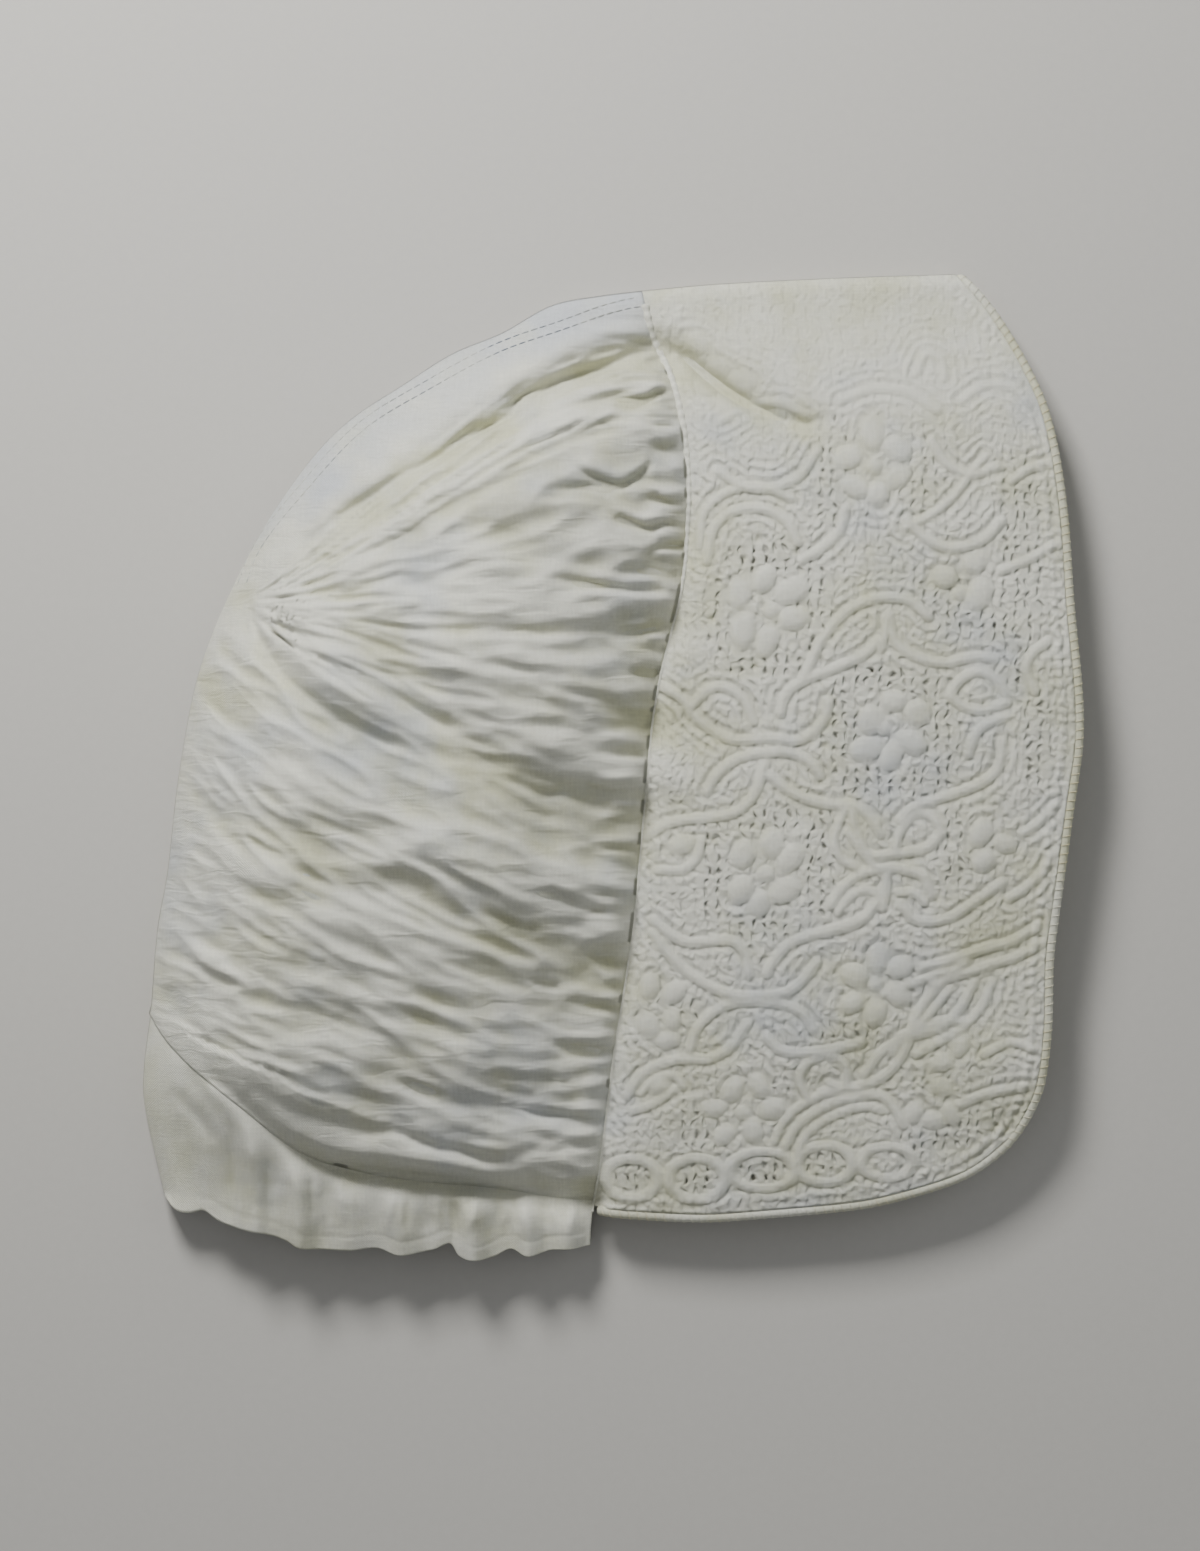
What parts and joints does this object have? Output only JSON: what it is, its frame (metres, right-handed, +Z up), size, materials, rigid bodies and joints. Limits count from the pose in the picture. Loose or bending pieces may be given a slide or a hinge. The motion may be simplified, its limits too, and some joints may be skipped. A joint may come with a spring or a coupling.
{
  "type": "quilted linen nightcap",
  "caption": "Linen nightcap lying folded on its side: plain gathered crown, corded whitework brim, whipped edge and gathered nape casing.",
  "frame": {"origin": "middle of the cap's foot as it lies, on the surface", "axes": "+X from the back of the head to the face, +Y from the nape to the top of the head, +Z up off the surface"},
  "size_m": [0.2226, 0.2337, 0.0421],
  "materials": {
    "crown_linen": "matt plain-woven linen, aged",
    "brim_linen": "matt corded and stuffed whitework linen, aged",
    "casing_linen": "matt gathered linen, aged",
    "binding_linen": "matt whipped linen roll, yellowed"
  },
  "bodies": {
    "root": {"crown": "crown_linen", "brim": "brim_linen", "nape_casing": "casing_linen", "edge_binding": "binding_linen"}
  },
  "joints": []
}
